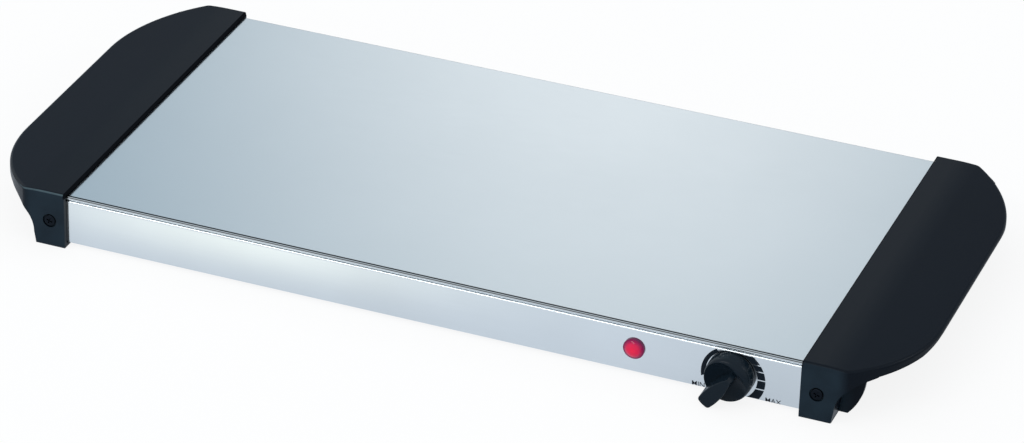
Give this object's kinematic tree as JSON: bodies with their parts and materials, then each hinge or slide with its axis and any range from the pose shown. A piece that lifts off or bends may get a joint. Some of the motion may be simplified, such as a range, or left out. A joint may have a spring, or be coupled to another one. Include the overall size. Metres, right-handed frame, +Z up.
{
  "type": "electric warming tray",
  "caption": "Long flat electric warming tray with a satin steel hot surface, black moulded end caps that are handles and feet, a pilot lamp and a control knob.",
  "frame": {"origin": "bottom centre of the whole, on the plane that the feet stand on", "axes": "+Z up; +X to the right along the length, seen from the control side; +Y from the control panel to the back"},
  "size_m": [0.6334, 0.2984, 0.0396],
  "materials": {
    "plate_steel": "satin stainless steel, straight grain along the length",
    "panel_steel": "bright stainless steel sheet, nearly mirror smooth",
    "cap_plastic": "black heat-proof moulding, fine satin",
    "knob_plastic": "black heat-proof moulding, satin",
    "lens_red": "clear red, glossy",
    "lamp_glass": "clear glass bulb on a moulded base",
    "screw_steel": "bright zinc plate",
    "spring_steel": "tempered steel strip",
    "zinc_steel": "zinc-plated sheet",
    "brass_parts": "turned brass, plain",
    "spreader_aluminium": "mill finish",
    "element_sheath": "heat-darkened sheath",
    "ceramic_white": "unglazed, off-white",
    "board_grey": "pressed mineral fibre board",
    "terminal_plastic": "natural nylon",
    "gland_plastic": "black nylon",
    "wire_brown": "brown silicone sleeve",
    "wire_blue": "blue silicone sleeve",
    "wire_white": "white silicone sleeve",
    "wire_green_yellow": "green and yellow silicone sleeve"
  },
  "bodies": {
    "tray": {"top_plate": "plate_steel", "housing_pan": "panel_steel", "end_walls": "zinc_steel", "right_end_cap": "cap_plastic", "left_end_cap": "cap_plastic", "cap_screws": "screw_steel", "cap_nuts": "screw_steel", "indicator_lens": "lens_red", "neon_lamp": "lamp_glass", "lamp_clip": "spring_steel", "thermostat_frame": "zinc_steel", "bush_nut": "screw_steel", "thermostat_stack": "ceramic_white", "thermostat_blades": "brass_parts", "heat_spreader": "spreader_aluminium", "heating_element": "element_sheath", "element_pins": "screw_steel", "element_clips": "zinc_steel", "clip_rivets": "spreader_aluminium", "insulation_board": "board_grey", "heat_shield": "zinc_steel", "support_bars": "zinc_steel", "thermal_fuse": "brass_parts", "fuse_clip": "spring_steel", "cord_gland": "gland_plastic", "terminal_block": "terminal_plastic", "terminal_inserts": "brass_parts", "earth_screw": "screw_steel", "earth_nut": "screw_steel", "earth_tag": "brass_parts", "live_wire": "wire_brown", "neutral_wire": "wire_blue", "lamp_return_wire": "wire_white", "lamp_feed_wire": "wire_white", "element_feed_wire": "wire_brown", "element_lead_wire": "wire_brown", "earth_wire": "wire_green_yellow"},
    "control_knob": {"knob": "knob_plastic", "knob_shaft": "brass_parts"}
  },
  "joints": [
    {"name": "knob_turn", "type": "hinge", "parent": "tray", "child": "control_knob", "pos_m": [0.2044, -0.1312, 0.0175], "axis": [0, 1, 0], "range_deg": [0, 265]}
  ]
}
